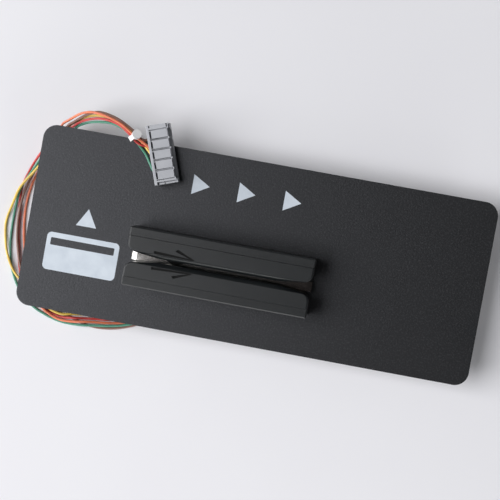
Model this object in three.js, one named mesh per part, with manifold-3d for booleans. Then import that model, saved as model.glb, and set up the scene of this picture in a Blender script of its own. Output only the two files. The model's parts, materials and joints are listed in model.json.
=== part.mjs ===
// Card swipe reader on a flat front panel, with its five-wire harness.
// Millimetres. X runs along the panel in the swipe direction, Y to the panel's top edge and
// Z out of its front. The origin is on the plane of the rear studs' tips, under the panel's centre.

import * as THREE from 'three';
import { mergeVertices } from 'three/addons/utils/BufferGeometryUtils.js';
import Module from 'manifold-3d';

const wasm = await Module();
wasm.setup();

// ---- Driving dimensions -------------------------------------------------------------------

const GAP = 0.3; // clearance between pieces that touch

const PANEL = { length: 230, height: 92, thickness: 1.5, corner: 7 };
const STUD = { length: 20, radius: 2, flange: 3, flangeHeight: 0.7, x: 99, y: 30 };
const PANEL_FRONT = STUD.length + PANEL.thickness;

const READER = { x: -14.5, y: -10.6, length: 91.2, width: 29, height: 25 };
const BASE = { bottom: GAP, top: 2 };
const RAIL = { bottom: 2.3, outer: 10.1, wall: 1.0, lip: 2.8, lipDepth: 1.7, endBevel: 0.7 };
const FUNNEL = { halfWidth: 2.5, from: 29.6, to: 40.4, corner: 4.6, topCorner: 3.8 };
const FLOOR = { top: 6, thickness: 0.4, halfWidth: 2.5, ribTop: 5.3, rebateTop: 6.3, ramp: 3 };
const RIB_HALF_WIDTH = 2.2;
const COVER = { inner: 10.4, top: 24.6, wall: 1.6, hookX: 38.2, hookZ: 14 };

const HEAD = {
  x: -21.8, z: 16, width: 10.4, height: 11, flatHeight: 8.8, tip: -0.5, shoulder: 1.6, back: 5.5,
};
const CORE = { width: 2.4, height: 8.4, back: 2.7, proud: 0.05 };
const CRADLE = { back: 5.8, thickness: 0.4, lug: 6.1, lugThickness: 0.3, pivotY: 4.2, width: 4.4 };
const SPRING = { y: 6.9, thickness: 0.25, halfLength: 12.9, halfHeight: 2.6, screwX: 11 };
const POCKET = { x0: -35.5, x1: -8, z0: 9.3, z1: 22.7, y: 6.6 };

const BOARD = { x0: -1, x1: 33, z0: 7.5, z1: 21.5, y0: 7.6, y1: 8.6 };
const HEADER = { x: 20, pitch: 2, y0: 8.9, y1: 12.3, z0: 8.6, z1: 12.6 };

const INSERT = { x: 41.2, y: 6.5, radius: 2.1, bore: 1.8, from: 2.6, to: 7.6 };
const BASE_SCREW = { y: 6.8, radius: 1.1, head: 2.2, top: 8, headTop: 1.7 };
const PANEL_SCREW = { radius: 1.5, head: 2.9, headHeight: 2, washer: 3.3, washerThickness: 0.5 };
const CABLE_HOLE = { x: 20, y: 5.4, radius: 4 };

const WIRE_RADIUS = 0.65;
const BUNDLE_RADIUS = 1.4;
const TIE = { x: -68.5, y: 47.2, z: 26.5, inner: 2.7, outer: 3.4, width: 2.4, head: 4.6, depth: 2.6 };
const TIE_HEAD_LIFT = 70; // degrees above the table's plane
const TIE_HEADING = new THREE.Vector3(-0.65, 0.76, 0).normalize();

const PLUG = { x: -53.4, y: 40.8, turn: 19.5, width: 11.6, length: 29.6, height: 9.6, ways: 5 };
const PLUG_PITCH = 5.08;
const PLUG_RAIL = { width: 1.3, underHeight: 4.2, underTo: -1.2, endWall: 1 };
const PLUG_CAVITY = { x0: 0.2, halfWidth: 1.6, z0: 0.9, z1: 4.1, wireZ: 1.8 };

// The harness lies on the table beside and under the panel. Each route runs from the connector,
// through the tie, round the panel's left end and up to the grommet behind the reader.
const WIRE_ROUTES = {
  brown: [
    [-58.2, 49.9, 23.6], [-59.9, 49, 23.6], [-61.5, 47.4, 24.1], [-63.4, 46.2, 25.2],
    [-65.7, 46.6, 26.3], [-67.5, 48.2, 26.8], [-76.3, 53.2, 26.6], [-81.9, 55.1, 26],
    [-88, 55.9, 25], [-91.7, 55.1, 24], [-96.2, 52.8, 22], [-101, 49.3, 19.1],
    [-104.6, 46.8, 15.9], [-109, 40.1, 11.1], [-115.3, 31, 6.9], [-120, 21, 3.4],
    [-123.6, 10, 2.4], [-124.6, 0, 2.4], [-124, -10, 2.4], [-122, -20, 2.4],
    [-118.6, -30.1, 1.9], [-112.8, -38.3, 0.8], [-104, -45, 0.8], [-95, -48.7, 0.8],
    [-88, -50.4, 0.8], [-82, -52.1, 0.8], [-76, -52.8, 0.8], [-68.4, -52.2, 0.8],
    [-60, -49.9, 0.8], [-50, -45.2, 0.8], [-38, -37, 0.8], [-24, -26.4, 0.8], [-11, -17.2, 0.8],
    [1.6, -10, 1.3], [4.4, -8, 3.5], [5.8, -6.8, 7.5], [6.3, -6.4, 12], [6.3, -6.3, 17.6],
  ],
  red: [
    [-56.5, 45.1, 23.6], [-58.5, 44.4, 23.5], [-61.1, 43.9, 23.9], [-64.5, 43.4, 24.9],
    [-67.5, 44.5, 26], [-69.5, 46.3, 26.9], [-75.9, 50.7, 26.8], [-79.9, 52.2, 26],
    [-85.3, 52.9, 25], [-89.5, 52.6, 23.8], [-94.5, 51.2, 21.5], [-98.9, 49, 19],
    [-102.6, 46.1, 16], [-107.4, 41.2, 13.7], [-115.6, 33.3, 9.6], [-121.4, 23.4, 5],
    [-125.3, 12.5, 1.6], [-125.6, 5, 0.8], [-124.6, -2, 0.8], [-124, -10, 0.8],
    [-122, -20, 0.8], [-119.3, -30.9, 0.8], [-114.2, -39.9, 0.8], [-105.5, -46.9, 0.8],
    [-95, -50.7, 0.9], [-88, -50.1, 2.7], [-82, -49.4, 1.2], [-76, -48.7, 0.8],
    [-68.4, -47.7, 0.8], [-60, -45.8, 0.8], [-50, -41.1, 0.8], [-38, -32.7, 0.8],
    [-24, -22.1, 0.8], [-11, -12.9, 0.8], [-0.6, -7.8, 1.2], [2.2, -6.2, 3.4], [3.6, -5.2, 7.5],
    [4.2, -4.8, 12], [4.2, -4.8, 17.6],
  ],
  orange: [
    [-54.8, 40.3, 23.6], [-56.8, 40, 23.9], [-58.8, 41.2, 24.6], [-61, 43, 25.8],
    [-64.2, 44.9, 27.3], [-68.5, 47.1, 28], [-75.8, 51.7, 28.4], [-81.6, 53.7, 28],
    [-87.7, 55, 27], [-92.2, 55.2, 25.8], [-96.2, 54.3, 24], [-99.2, 52.9, 22.3],
    [-103.7, 49.8, 18.9], [-107.7, 46.8, 15.4], [-110.6, 38.1, 7.5], [-115.2, 29, 3.4],
    [-118.4, 22, 1.6], [-121.2, 12, 0.8], [-122, 2, 0.8], [-121.2, -8, 0.8], [-119, -19, 0.8],
    [-115.6, -28.4, 1.3], [-113, -39.1, 2.9], [-103.5, -48.3, 2.4], [-95, -52, 2.2],
    [-88, -52, 2.4], [-82, -51, 2.4], [-76, -50.3, 1.5], [-68.4, -49.4, 0.8], [-60, -47.6, 0.8],
    [-50, -43.1, 0.8], [-38, -34.8, 0.8], [-24, -24.2, 0.8], [-11, -15, 1], [2, -8.1, 1.4],
    [5, -6.1, 3.2], [6.3, -5.2, 7], [6.8, -4.7, 12], [6.8, -4.8, 17.6],
  ],
  yellow: [
    [-53.1, 35.5, 23.6], [-55, 35.2, 24], [-57.2, 36.9, 24.2], [-59.6, 39.9, 23.9],
    [-63, 43, 22.8], [-65.6, 45.4, 24], [-68, 47.6, 25.3], [-77.3, 53.1, 24.8],
    [-82.4, 54, 24.2], [-87.2, 54.3, 23.2], [-91.9, 53.7, 22], [-96.6, 51.9, 19.8],
    [-100.8, 49.4, 16.9], [-104.3, 46.7, 13.8], [-107.4, 38.9, 10], [-114, 29.4, 8.4],
    [-119.8, 20.5, 6.6], [-125.7, 11.3, 5.4], [-128.8, 2, 2.2], [-130.8, -7, 0.8],
    [-130, -14, 0.9], [-127, -23.5, 2.4], [-121.5, -32.5, 2.4], [-112.4, -38.9, 4.4],
    [-104, -45.8, 2.6], [-95, -49.1, 2.5], [-88, -48.2, 1.7], [-82, -47.5, 0.8],
    [-76, -47, 0.8], [-68.4, -46, 0.8], [-60, -44.1, 0.8], [-50, -39.1, 0.8], [-38, -30.6, 0.8],
    [-24, -20, 0.8], [-11, -10.6, 0.8], [-3.5, -6.2, 0.8], [1.4, -4.1, 1.6], [4.2, -3.5, 4],
    [5.3, -3.7, 7.8], [5.5, -3.8, 12], [5.5, -3.8, 17.6],
  ],
  green: [
    [-51.4, 30.7, 23.6], [-53.8, 30.4, 23], [-56.9, 31.8, 22.4], [-59.4, 35.1, 22.2],
    [-62.4, 39.4, 22.2], [-66.9, 43.9, 23.6], [-69.1, 46.7, 25.4], [-76.8, 50.4, 25.2],
    [-81.8, 51.5, 24.3], [-87.6, 51.2, 22.8], [-92.9, 50.2, 20.8], [-97.5, 48.4, 18.2],
    [-100.6, 46.3, 15.8], [-106.1, 38.5, 12.7], [-114.7, 31.6, 9], [-120.6, 21.6, 5.3],
    [-125.8, 10.5, 3.2], [-127.2, -1, 1], [-127.2, -12, 0.8], [-126.2, -21, 0.8],
    [-123.5, -31, 0.8], [-118, -40.5, 0.8], [-109.5, -48, 0.8], [-101.5, -51.4, 0.8],
    [-94.5, -53.1, 0.8], [-88, -53.4, 0.9], [-82, -52.9, 2.3], [-76, -51.9, 2.2],
    [-68.4, -50.8, 2.1], [-60, -48.7, 2.1], [-50, -44.2, 2.1], [-38, -35.9, 2.2],
    [-24, -25.3, 2.2], [-11, -16.1, 2.2], [-0.5, -9.9, 2.8], [2.4, -7.9, 4.8], [4, -6.8, 8.4],
    [4.6, -6.4, 12.5], [4.6, -6.4, 17.6],
  ],
};
const WIRE_STEPS = 80;

// Short wires inside the reader, in the reader's own frame, from the grommet up to the header.
const TAIL_ROUTES = {
  brown: [[20.8, 4.3, -3.6], [20.8, 4.3, 1.5], [21.4, 6.3, 4.4], [22, 9.2, 6.2], [22, 10.6, 8.3]],
  red: [[18.7, 5.8, -3.6], [18.7, 5.8, 0.8], [17.4, 7.6, 3.4], [16, 9.9, 5.6], [16, 10.6, 8.3]],
  orange: [[21.3, 5.8, -3.6], [21.3, 5.8, 0.8], [22.9, 7.6, 3.4], [24, 9.9, 5.6], [24, 10.6, 8.3]],
  yellow: [[20, 6.8, -3.6], [20, 6.8, 1.2], [20, 8.6, 3.6], [20, 10.2, 5.6], [20, 10.6, 8.3]],
  green: [[19.1, 4.2, -3.6], [19.1, 4.2, 1.5], [18.6, 6.3, 4.6], [18, 9.2, 6.2], [18, 10.6, 8.3]],
};

// ---- Finishes -----------------------------------------------------------------------------

const finish = (color, roughness, metalness = 0) =>
  new THREE.MeshStandardMaterial({ color, roughness, metalness });

const FINISH = {
  powderCoat: finish(0x2b2c2e, 0.75, 0.1),
  blackPlastic: finish(0x2a2e30, 0.5),
  steel: finish(0xb9bcc0, 0.3, 1),
  zinc: finish(0xa7abae, 0.4, 1),
  brass: finish(0xb8924a, 0.35, 1),
  headCan: finish(0xc4c6c8, 0.25, 1),
  headCore: finish(0x6b6256, 0.35, 0.6),
  springSteel: finish(0x9da1a5, 0.3, 1),
  board: finish(0x1e5a3a, 0.5),
  chip: finish(0x17181a, 0.5),
  tantalum: finish(0xc9a03c, 0.5),
  polyimide: finish(0xb06a24, 0.4),
  headerPlastic: finish(0xe6e2d4, 0.5),
  rubber: finish(0x1c1c1d, 0.85),
  nylon: finish(0xf0efec, 0.4),
  greyPlastic: finish(0xabadb3, 0.5),
  tin: finish(0xc2c2bd, 0.35, 1),
};

const WIRE_FINISH = {
  brown: finish(0x7d584d, 0.5),
  red: finish(0xb83a3c, 0.5),
  orange: finish(0xdd7450, 0.5),
  yellow: finish(0xe6c456, 0.5),
  green: finish(0x4f8f78, 0.5),
};

// ---- Solid helpers ------------------------------------------------------------------------

const group = new THREE.Group();
const reader = new THREE.Group();
reader.position.set(READER.x, READER.y, PANEL_FRONT);
const plug = new THREE.Group();
plug.position.set(PLUG.x, PLUG.y, PANEL_FRONT + GAP);
plug.rotation.z = THREE.MathUtils.degToRad(PLUG.turn);
group.add(reader, plug);

function place(parent, name, geometry, material) {
  const mesh = new THREE.Mesh(geometry, material);
  mesh.name = name;
  parent.add(mesh);
  return mesh;
}

// A box between two values on each axis, given in either order.
function block([x0, x1], [y0, y1], [z0, z1]) {
  const box = new THREE.BoxGeometry(Math.abs(x1 - x0), Math.abs(y1 - y0), Math.abs(z1 - z0));
  return box.translate((x0 + x1) / 2, (y0 + y1) / 2, (z0 + z1) / 2);
}

// A round bar along z, y or x through the point (a, b) of the other two axes, in their order.
function bar(radius, [from, to], [a, b], axis = 'z', segments = 24) {
  const rod = new THREE.CylinderGeometry(radius, radius, to - from, segments);
  rod.translate(0, (from + to) / 2, 0);
  if (axis === 'z') return rod.rotateX(Math.PI / 2).translate(a, b, 0);
  if (axis === 'x') return rod.rotateZ(-Math.PI / 2).translate(0, a, b);
  return rod.translate(a, 0, b);
}

// A turned shape about z from its half section, listed from the bottom up.
function turned(profile, [x, y], segments = 32) {
  const points = profile.map(([r, z]) => new THREE.Vector2(r, z));
  return new THREE.LatheGeometry(points, segments).rotateX(Math.PI / 2).translate(x, y, 0);
}

function toManifold(geometry) {
  const bare = geometry.clone();
  bare.deleteAttribute('normal');
  bare.deleteAttribute('uv');
  const merged = mergeVertices(bare, 1e-4);
  return new wasm.Manifold(new wasm.Mesh({
    numProp: 3,
    vertProperties: new Float32Array(merged.attributes.position.array),
    triVerts: new Uint32Array(merged.index.array),
  }));
}

function fromManifold(solid) {
  const mesh = solid.getMesh();
  const geometry = new THREE.BufferGeometry();
  geometry.setAttribute('position', new THREE.BufferAttribute(mesh.vertProperties, 3));
  geometry.setIndex(new THREE.BufferAttribute(mesh.triVerts, 1));
  geometry.computeVertexNormals();
  return geometry;
}

const cut = (body, ...tools) =>
  fromManifold(tools.reduce((left, tool) => left.subtract(toManifold(tool)), toManifold(body)));

const join = (body, ...others) =>
  fromManifold(others.reduce((left, other) => left.add(toManifold(other)), toManifold(body)));

// A closed solid through plan outlines at rising heights, all with the same number of points.
function stacked(levels) {
  const count = levels[0].outline.length;
  const positions = levels.flatMap(({ outline, z }) => outline.flatMap(([x, y]) => [x, y, z]));
  const contour = levels[0].outline.map(([x, y]) => new THREE.Vector2(x, y));
  const last = (levels.length - 1) * count;
  const index = [];
  for (const [a, b, c] of THREE.ShapeUtils.triangulateShape(contour, [])) {
    index.push(a, c, b, last + a, last + b, last + c);
  }
  for (let level = 0; level < levels.length - 1; level += 1) {
    for (let i = 0; i < count; i += 1) {
      const a = level * count + i;
      const b = level * count + ((i + 1) % count);
      index.push(a, b, b + count, a, b + count, a + count);
    }
  }
  const geometry = new THREE.BufferGeometry();
  geometry.setAttribute('position', new THREE.Float32BufferAttribute(positions, 3));
  geometry.setIndex(index);
  return geometry;
}

// A tube of the given radius on a smooth curve through the points.
function wireTube(points, radius, steps) {
  const section = new THREE.Shape();
  for (let side = 0; side < 8; side += 1) {
    const angle = ((side + 0.5) / 8) * 2 * Math.PI;
    const [x, y] = [radius * Math.cos(angle), radius * Math.sin(angle)];
    if (side === 0) section.moveTo(x, y);
    else section.lineTo(x, y);
  }
  const extrudePath = new THREE.CatmullRomCurve3(points.map((p) => new THREE.Vector3(...p)));
  return new THREE.ExtrudeGeometry(section, { steps, extrudePath });
}

// ---- Panel --------------------------------------------------------------------------------

function roundedRectangle(width, height, radius) {
  const [w, h] = [width / 2, height / 2];
  const shape = new THREE.Shape();
  shape.absarc(w - radius, h - radius, radius, 0, Math.PI / 2);
  shape.absarc(radius - w, h - radius, radius, Math.PI / 2, Math.PI);
  shape.absarc(radius - w, radius - h, radius, Math.PI, 1.5 * Math.PI);
  shape.absarc(w - radius, radius - h, radius, 1.5 * Math.PI, 2 * Math.PI);
  return shape;
}

function frontPanel() {
  const shape = roundedRectangle(PANEL.length, PANEL.height, PANEL.corner);
  const hole = (x, y, radius) => {
    const path = new THREE.Path();
    path.absarc(READER.x + x, READER.y + y, radius, 0, 2 * Math.PI, true);
    shape.holes.push(path);
  };
  hole(CABLE_HOLE.x, CABLE_HOLE.y, CABLE_HOLE.radius);
  hole(INSERT.x, INSERT.y, PANEL_SCREW.radius + GAP);
  hole(-INSERT.x, -INSERT.y, PANEL_SCREW.radius + GAP);
  const plate = new THREE.ExtrudeGeometry(shape, {
    depth: PANEL.thickness,
    bevelEnabled: false,
    curveSegments: 10,
  });
  place(group, 'front_panel', plate.translate(0, 0, STUD.length), FINISH.powderCoat);
}

function panelStuds() {
  const top = STUD.length - GAP;
  const profile = [
    [0, 0], [STUD.radius - 0.6, 0], [STUD.radius, 0.6], [STUD.radius, top - STUD.flangeHeight],
    [STUD.flange, top - STUD.flangeHeight], [STUD.flange, top], [0, top],
  ];
  const corners = [[-1, 1], [1, 1], [1, -1], [-1, -1]];
  corners.forEach(([sx, sy], i) => {
    const stud = turned(profile, [sx * STUD.x, sy * STUD.y], 20);
    place(group, `panel_stud_${i + 1}`, stud, FINISH.zinc);
  });
}

function panelScrews() {
  [1, -1].forEach((side, i) => {
    const at = [READER.x + side * INSERT.x, READER.y + side * INSERT.y];
    const { radius, head, headHeight, washer, washerThickness } = PANEL_SCREW;
    const washerTop = STUD.length - GAP;
    const washerBottom = washerTop - washerThickness;
    const ring = [
      [radius + GAP, washerBottom], [washer, washerBottom], [washer, washerTop],
      [radius + GAP, washerTop], [radius + GAP, washerBottom],
    ];
    place(group, `panel_washer_${i + 1}`, turned(ring, at, 24), FINISH.zinc);
    const headTop = washerBottom - GAP;
    const screw = [
      [0, headTop - headHeight], [head - 0.6, headTop - headHeight], [head, headTop - 1.2],
      [head, headTop], [radius, headTop], [radius, PANEL_FRONT + INSERT.to - GAP],
      [0, PANEL_FRONT + INSERT.to - GAP],
    ];
    const recess = [
      block([at[0] - 1.6, at[0] + 1.6], [at[1] - 0.3, at[1] + 0.3], [headTop - 3, headTop - 1.1]),
      block([at[0] - 0.3, at[0] + 0.3], [at[1] - 1.6, at[1] + 1.6], [headTop - 3, headTop - 1.1]),
    ];
    place(group, `panel_screw_${i + 1}`, cut(turned(screw, at, 24), ...recess), FINISH.zinc);
  });
}

function cableGrommet() {
  const rear = STUD.length - GAP;
  const front = PANEL_FRONT + GAP;
  const [bore, neck, flange] = [2.5, CABLE_HOLE.radius - GAP, 4.9];
  const profile = [
    [bore, rear - 1.7], [flange - 0.5, rear - 1.7], [flange, rear - 1.2], [flange, rear],
    [neck, rear], [neck, front], [flange, front], [flange - 0.4, front + 1.2],
    [bore, front + 1.2], [bore, rear - 1.7],
  ];
  const at = [READER.x + CABLE_HOLE.x, READER.y + CABLE_HOLE.y];
  place(group, 'cable_grommet', turned(profile, at, 28), FINISH.rubber);
}

// ---- Reader housing -----------------------------------------------------------------------

// The rail's plan on the +Y side. The slot's wall flares towards both ends, while the edge of the
// lip above it is straight: opened runs from 0 at the wall to 1 at the top of the lip.
function railOutline(opened, inset) {
  const end = READER.length / 2 - inset;
  const between = (wall, lip) => wall + (lip - wall) * opened;
  const mouth = between(FUNNEL.halfWidth, RAIL.lip);
  const corner = between(FUNNEL.corner, FUNNEL.topCorner);
  const arc = [];
  const arcSteps = 8;
  for (let i = 0; i <= arcSteps; i += 1) {
    const angle = (i / arcSteps) * (Math.PI / 2);
    arc.push([end - corner + corner * Math.sin(angle), mouth + corner - corner * Math.cos(angle)]);
  }
  const middle = between(RAIL.wall, RAIL.lip);
  const right = [[FUNNEL.from, middle], [FUNNEL.to, mouth], ...arc, [end, RAIL.outer]];
  const left = right.map(([x, y]) => [-x, y]).reverse();
  return [...left, ...right];
}

function railSolid(side) {
  const wallTop = READER.height - RAIL.lipDepth;
  const along = (outline) => {
    const sided = outline.map(([x, y]) => [x, side * y]);
    return side > 0 ? sided : sided.reverse();
  };
  const body = stacked([
    { outline: along(railOutline(0, 0)), z: RAIL.bottom },
    { outline: along(railOutline(0, 0)), z: wallTop },
    { outline: along(railOutline(0.6, 0)), z: READER.height - RAIL.endBevel },
    { outline: along(railOutline(1, RAIL.endBevel)), z: READER.height },
  ]);
  const rebate = FLOOR.halfWidth + GAP;
  const end = READER.length / 2 + 1;
  const under = block([-end, end], [0, side * rebate], [RAIL.bottom - 1, FLOOR.rebateTop]);
  const hookZ = [COVER.hookZ - 2.3, COVER.hookZ + 2.3];
  const hooks = [-1, 1].map((s) => block(
    [s * COVER.hookX - 2.3, s * COVER.hookX + 2.3],
    [side * 6.5, side * (RAIL.outer + 1)],
    hookZ,
  ));
  const screwHoles = baseScrewPlaces(side).map(([x, y]) =>
    bar(BASE_SCREW.radius + GAP, [RAIL.bottom - 1, BASE_SCREW.top + GAP], [x, y], 'z', 16));
  const insertAt = [side * INSERT.x, side * INSERT.y];
  const insertHole = bar(INSERT.radius + GAP, [RAIL.bottom - 1, INSERT.to + GAP], insertAt);
  return cut(body, under, ...hooks, ...screwHoles, insertHole);
}

// Two screws hold each rail to the base; the one near the insert stands clear of it.
function baseScrewPlaces(side) {
  return [[side * -41, side * BASE_SCREW.y], [side * 35.8, side * BASE_SCREW.y]];
}

function headSideRail() {
  const outside = RAIL.outer + 1;
  const pocket = block([POCKET.x0, POCKET.x1], [POCKET.y, outside], [POCKET.z0, POCKET.z1]);
  const half = HEAD.width / 2 + 0.5;
  const noseWindow = block([HEAD.x - half, HEAD.x + half], [0, 4], [HEAD.z - 5.8, HEAD.z + 5.8]);
  const well = block([HEAD.x - half, HEAD.x + half], [2.4, outside], [POCKET.z0, POCKET.z1]);
  const screwHoles = [-1, 1].map((s) =>
    bar(1.2, [2.4, POCKET.y + 1], [HEAD.x + s * SPRING.screwX, HEAD.z], 'y', 16));
  const boardSeat = block([-3, BOARD.x1 + GAP], [BOARD.y0 - GAP, outside], [6.9, 22.1]);
  const behindBoard = block([1, BOARD.x1 - 2], [4, outside], [9, 20]);
  const flexWay = block([POCKET.x1 - 1, -2], [8.2, outside], [18.6, 22.1]);
  const wireWay = block([14.5, 25.5], [2.9, outside], [RAIL.bottom - 1, 7.2]);
  const openings = [
    pocket, noseWindow, well, ...screwHoles, boardSeat, behindBoard, flexWay, wireWay,
  ];
  place(reader, 'rail_head_side', cut(railSolid(1), ...openings), FINISH.blackPlastic);
}

function guideSideRail() {
  const pockets = [[-31, -11], [-9, 11], [13, 32]].map((x) =>
    block(x, [-4, -RAIL.outer - 1], [5.6, 22.4]));
  place(reader, 'rail_guide_side', cut(railSolid(-1), ...pockets), FINISH.blackPlastic);
}

function sideCover(name, side) {
  const outer = READER.width / 2;
  const { inner, top, wall } = COVER;
  const end = READER.length / 2;
  const skin = block([-end, end], [side * inner, side * outer], [RAIL.bottom, top]);
  const cavity = block(
    [-end + wall, end - wall],
    [side * (inner - 1), side * (outer - wall)],
    [RAIL.bottom + wall, top - wall],
  );
  const hooks = [-1, 1].map((s) => join(
    block(
      [s * COVER.hookX - 2, s * COVER.hookX + 2],
      [side * 7, side * (outer - 1)],
      [COVER.hookZ - 1.5, COVER.hookZ + 1.5],
    ),
    block(
      [s * COVER.hookX - 2, s * COVER.hookX + 2],
      [side * 7, side * 8.2],
      [COVER.hookZ - 2, COVER.hookZ + 2],
    ),
  ));
  place(reader, name, join(cut(skin, cavity), ...hooks), FINISH.blackPlastic);
}

// The base plate, with a rib along its middle that carries the slot's steel floor.
function readerBase() {
  const [x, y] = [READER.length / 2 - 0.3, READER.width / 2 - 0.3];
  const plate = block([-x, x], [-y, y], [BASE.bottom, BASE.top]);
  const through = [BASE.bottom - 1, BASE.top + 1];
  const screws = [1, -1].flatMap((side) => baseScrewPlaces(side)).flatMap((at) => [
    bar(BASE_SCREW.radius + GAP, through, at, 'z', 16),
    bar(BASE_SCREW.head + GAP, [BASE.bottom - 1, BASE_SCREW.headTop - 0.2], at, 'z', 20),
  ]);
  const mounting = [1, -1].map((side) =>
    bar(PANEL_SCREW.radius + GAP, through, [side * INSERT.x, side * INSERT.y]));
  const cable = bar(5.3, through, [CABLE_HOLE.x, CABLE_HOLE.y], 'z', 32);
  const ribEnd = READER.length / 2 - FLOOR.ramp - 0.6;
  const rib = block([-ribEnd, ribEnd], [-RIB_HALF_WIDTH, RIB_HALF_WIDTH], [1.9, FLOOR.ribTop]);
  const base = join(cut(plate, cable, ...mounting, ...screws), rib);
  place(reader, 'reader_base', base, FINISH.blackPlastic);
}

function baseScrews() {
  const { radius, head, top, headTop } = BASE_SCREW;
  const bottom = BASE.bottom + 0.2;
  const profile = [
    [0, bottom], [head, bottom], [head, bottom + 0.3], [radius, headTop - 0.5],
    [radius, top - 1], [0.3, top], [0, top],
  ];
  [1, -1].flatMap((side) => baseScrewPlaces(side)).forEach((at, i) => {
    place(reader, `base_screw_${i + 1}`, turned(profile, at, 16), FINISH.zinc);
  });
}

function threadedInserts() {
  const { radius, bore, from, to } = INSERT;
  const profile = [[bore, from], [radius, from], [radius, to], [bore, to], [bore, from]];
  [1, -1].forEach((side, i) => {
    const at = [side * INSERT.x, side * INSERT.y];
    place(reader, `threaded_insert_${i + 1}`, turned(profile, at, 20), FINISH.brass);
  });
}

// The steel floor of the slot, sloped at each end to lead the card in, with a tab bent down.
function wearStrip() {
  const end = READER.length / 2;
  const { top, thickness, ramp } = FLOOR;
  const right = [
    [end - ramp, top], [end - 0.6, top - 0.9], [end, top - 1.6], [end, top - 2.8],
    [end - thickness, top - 2.8], [end - thickness, top - 1.8], [end - 0.8, top - 1.3],
    [end - ramp - 0.1, top - thickness],
  ];
  const upper = right.slice(0, 4);
  const lower = right.slice(4);
  const mirrored = (points) => points.map(([x, z]) => [-x, z]).reverse();
  const outline = [...mirrored(upper), ...upper, ...lower, ...mirrored(lower)];
  const shape = new THREE.Shape(outline.map(([x, z]) => new THREE.Vector2(x, z)));
  const strip = new THREE.ExtrudeGeometry(shape, {
    depth: 2 * FLOOR.halfWidth,
    bevelEnabled: false,
  });
  strip.rotateX(Math.PI / 2).translate(0, FLOOR.halfWidth, 0);
  place(reader, 'wear_strip', strip, FINISH.steel);
}

// ---- Read head ----------------------------------------------------------------------------

// The can seen from the side: its nose slopes back above and below the card's stripe.
function headSideProfile() {
  const [half, flat] = [HEAD.height / 2, HEAD.flatHeight / 2];
  const shape = new THREE.Shape([
    new THREE.Vector2(HEAD.back, -half),
    new THREE.Vector2(HEAD.back, half),
    new THREE.Vector2(HEAD.shoulder, half),
    new THREE.Vector2(HEAD.tip - 0.1, flat),
    new THREE.Vector2(HEAD.tip - 0.1, -flat),
    new THREE.Vector2(HEAD.shoulder, -half),
  ]);
  const profile = new THREE.ExtrudeGeometry(shape, { depth: 20, bevelEnabled: false });
  return profile.rotateX(Math.PI / 2).rotateZ(Math.PI / 2).translate(HEAD.x - 10, 0, HEAD.z);
}

function magneticHead() {
  const half = HEAD.width / 2;
  const rise = HEAD.shoulder - HEAD.tip;
  const noseRadius = (half * half + rise * rise) / (2 * rise);
  const centreY = HEAD.tip + noseRadius;
  const sweep = Math.asin(half / noseRadius);
  const section = new THREE.Shape();
  section.moveTo(-half, HEAD.back);
  section.absarc(0, centreY, noseRadius, 1.5 * Math.PI - sweep, 1.5 * Math.PI + sweep);
  section.lineTo(half, HEAD.back);
  const can = new THREE.ExtrudeGeometry(section, {
    depth: HEAD.height,
    bevelEnabled: false,
    curveSegments: 14,
  });
  can.translate(HEAD.x, 0, HEAD.z - HEAD.height / 2);
  const coreHalf = CORE.width / 2 + GAP;
  const coreZ = CORE.height / 2 + GAP;
  const seat = block(
    [HEAD.x - coreHalf, HEAD.x + coreHalf],
    [HEAD.tip - 1, CORE.back + GAP],
    [HEAD.z - coreZ, HEAD.z + coreZ],
  );
  const reach = CRADLE.lug + CRADLE.lugThickness;
  const pivot = bar(0.7, [HEAD.z - reach, HEAD.z + reach], [HEAD.x, CRADLE.pivotY], 'z', 16);
  const crowned = toManifold(can).intersect(toManifold(headSideProfile()));
  const body = cut(join(fromManifold(crowned), pivot), seat);
  place(reader, 'magnetic_head', body, FINISH.headCan);
  const core = block(
    [HEAD.x - CORE.width / 2, HEAD.x + CORE.width / 2],
    [HEAD.tip + CORE.proud, CORE.back],
    [HEAD.z - CORE.height / 2, HEAD.z + CORE.height / 2],
  );
  place(reader, 'head_core', core, FINISH.headCore);
}

// A bent steel bracket behind the head; its two lugs carry the head's pivots.
function headCradle() {
  const { back, thickness, lug, lugThickness, pivotY, width } = CRADLE;
  const outer = lug + lugThickness;
  const x = [HEAD.x - width / 2, HEAD.x + width / 2];
  const plate = block(x, [back, back + thickness], [HEAD.z - outer, HEAD.z + outer]);
  const lugs = [-1, 1].map((s) => block(
    [HEAD.x - 1.8, HEAD.x + 1.8],
    [pivotY - 1.4, back + thickness],
    [HEAD.z + s * (lug - 0.2), HEAD.z + s * outer],
  ));
  const holes = bar(1.0, [HEAD.z - outer - 1, HEAD.z + outer + 1], [HEAD.x, pivotY], 'z', 20);
  place(reader, 'head_cradle', cut(join(plate, ...lugs), holes), FINISH.springSteel);
}

function headLeafSpring() {
  const { y, thickness, halfLength, halfHeight, screwX } = SPRING;
  const leaf = block(
    [HEAD.x - halfLength, HEAD.x + halfLength],
    [y, y + thickness],
    [HEAD.z - halfHeight, HEAD.z + halfHeight],
  );
  const holes = [-1, 1].map((s) =>
    bar(1.25, [y - 1, y + 1], [HEAD.x + s * screwX, HEAD.z], 'y', 16));
  place(reader, 'head_leaf_spring', cut(leaf, ...holes), FINISH.springSteel);
  [-1, 1].forEach((s, i) => {
    const at = [HEAD.x + s * screwX, HEAD.z];
    const seat = y + thickness + GAP;
    const screw = join(
      bar(0.9, [2.8, seat + 0.6], at, 'y', 16),
      bar(1.8, [seat, seat + 1.2], at, 'y', 20),
    );
    place(reader, `leaf_spring_screw_${i + 1}`, screw, FINISH.zinc);
  });
}

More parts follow.
